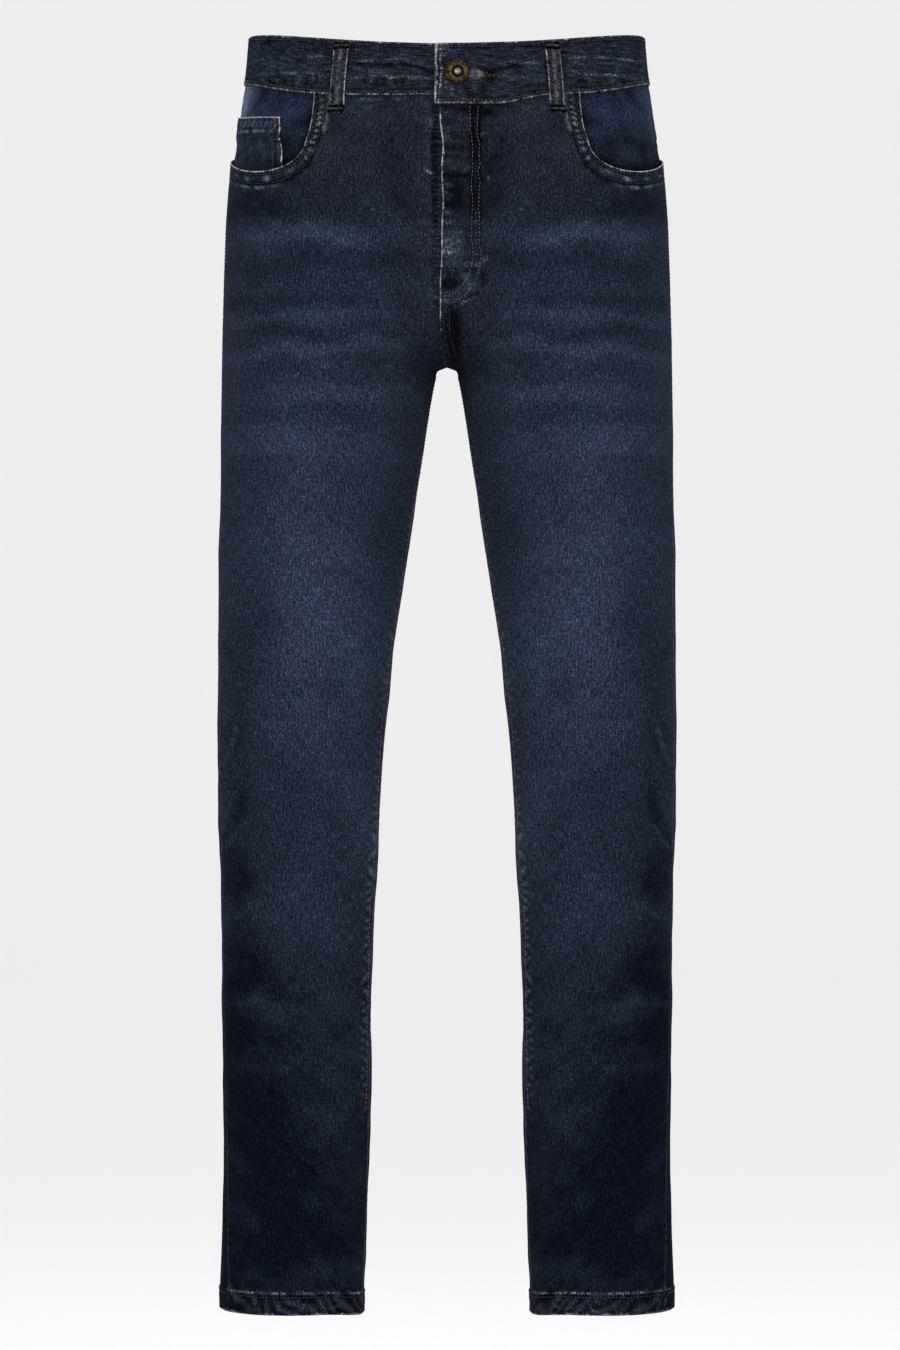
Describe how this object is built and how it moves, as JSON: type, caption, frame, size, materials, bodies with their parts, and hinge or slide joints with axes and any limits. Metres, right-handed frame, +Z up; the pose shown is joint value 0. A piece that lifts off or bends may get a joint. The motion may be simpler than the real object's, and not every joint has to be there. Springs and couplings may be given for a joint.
{
  "type": "slim fit jeans",
  "caption": "Slim fit jeans in their worn form, hollow, with open waist and hems, curved front pockets, coin pocket, patch back pockets, belt loops and a waist button over a fly.",
  "frame": {"origin": "the middle of the waist opening, halfway up the waistband", "axes": "+Z up, the front towards -Y, the wearer's right towards -X"},
  "size_m": [0.38, 0.2535, 1.0625],
  "materials": {
    "denim": "matte twill, indigo, worn paler on the thighs, knees and edges",
    "facing": "matte twill, dark indigo",
    "button": "antique, worn bright on its rim"
  },
  "bodies": {
    "root": {"waistband": "denim", "front_right": "denim", "front_left": "denim", "facing_right": "facing", "facing_left": "facing", "coin_pocket": "denim", "back_right": "denim", "back_left": "denim", "yoke_right": "denim", "yoke_left": "denim", "back_pocket_right": "denim", "back_pocket_left": "denim", "loop_front_right": "denim", "loop_front_left": "denim", "loop_back_right": "denim", "loop_back_left": "denim", "loop_back_centre": "denim", "button": "button"}
  },
  "joints": []
}
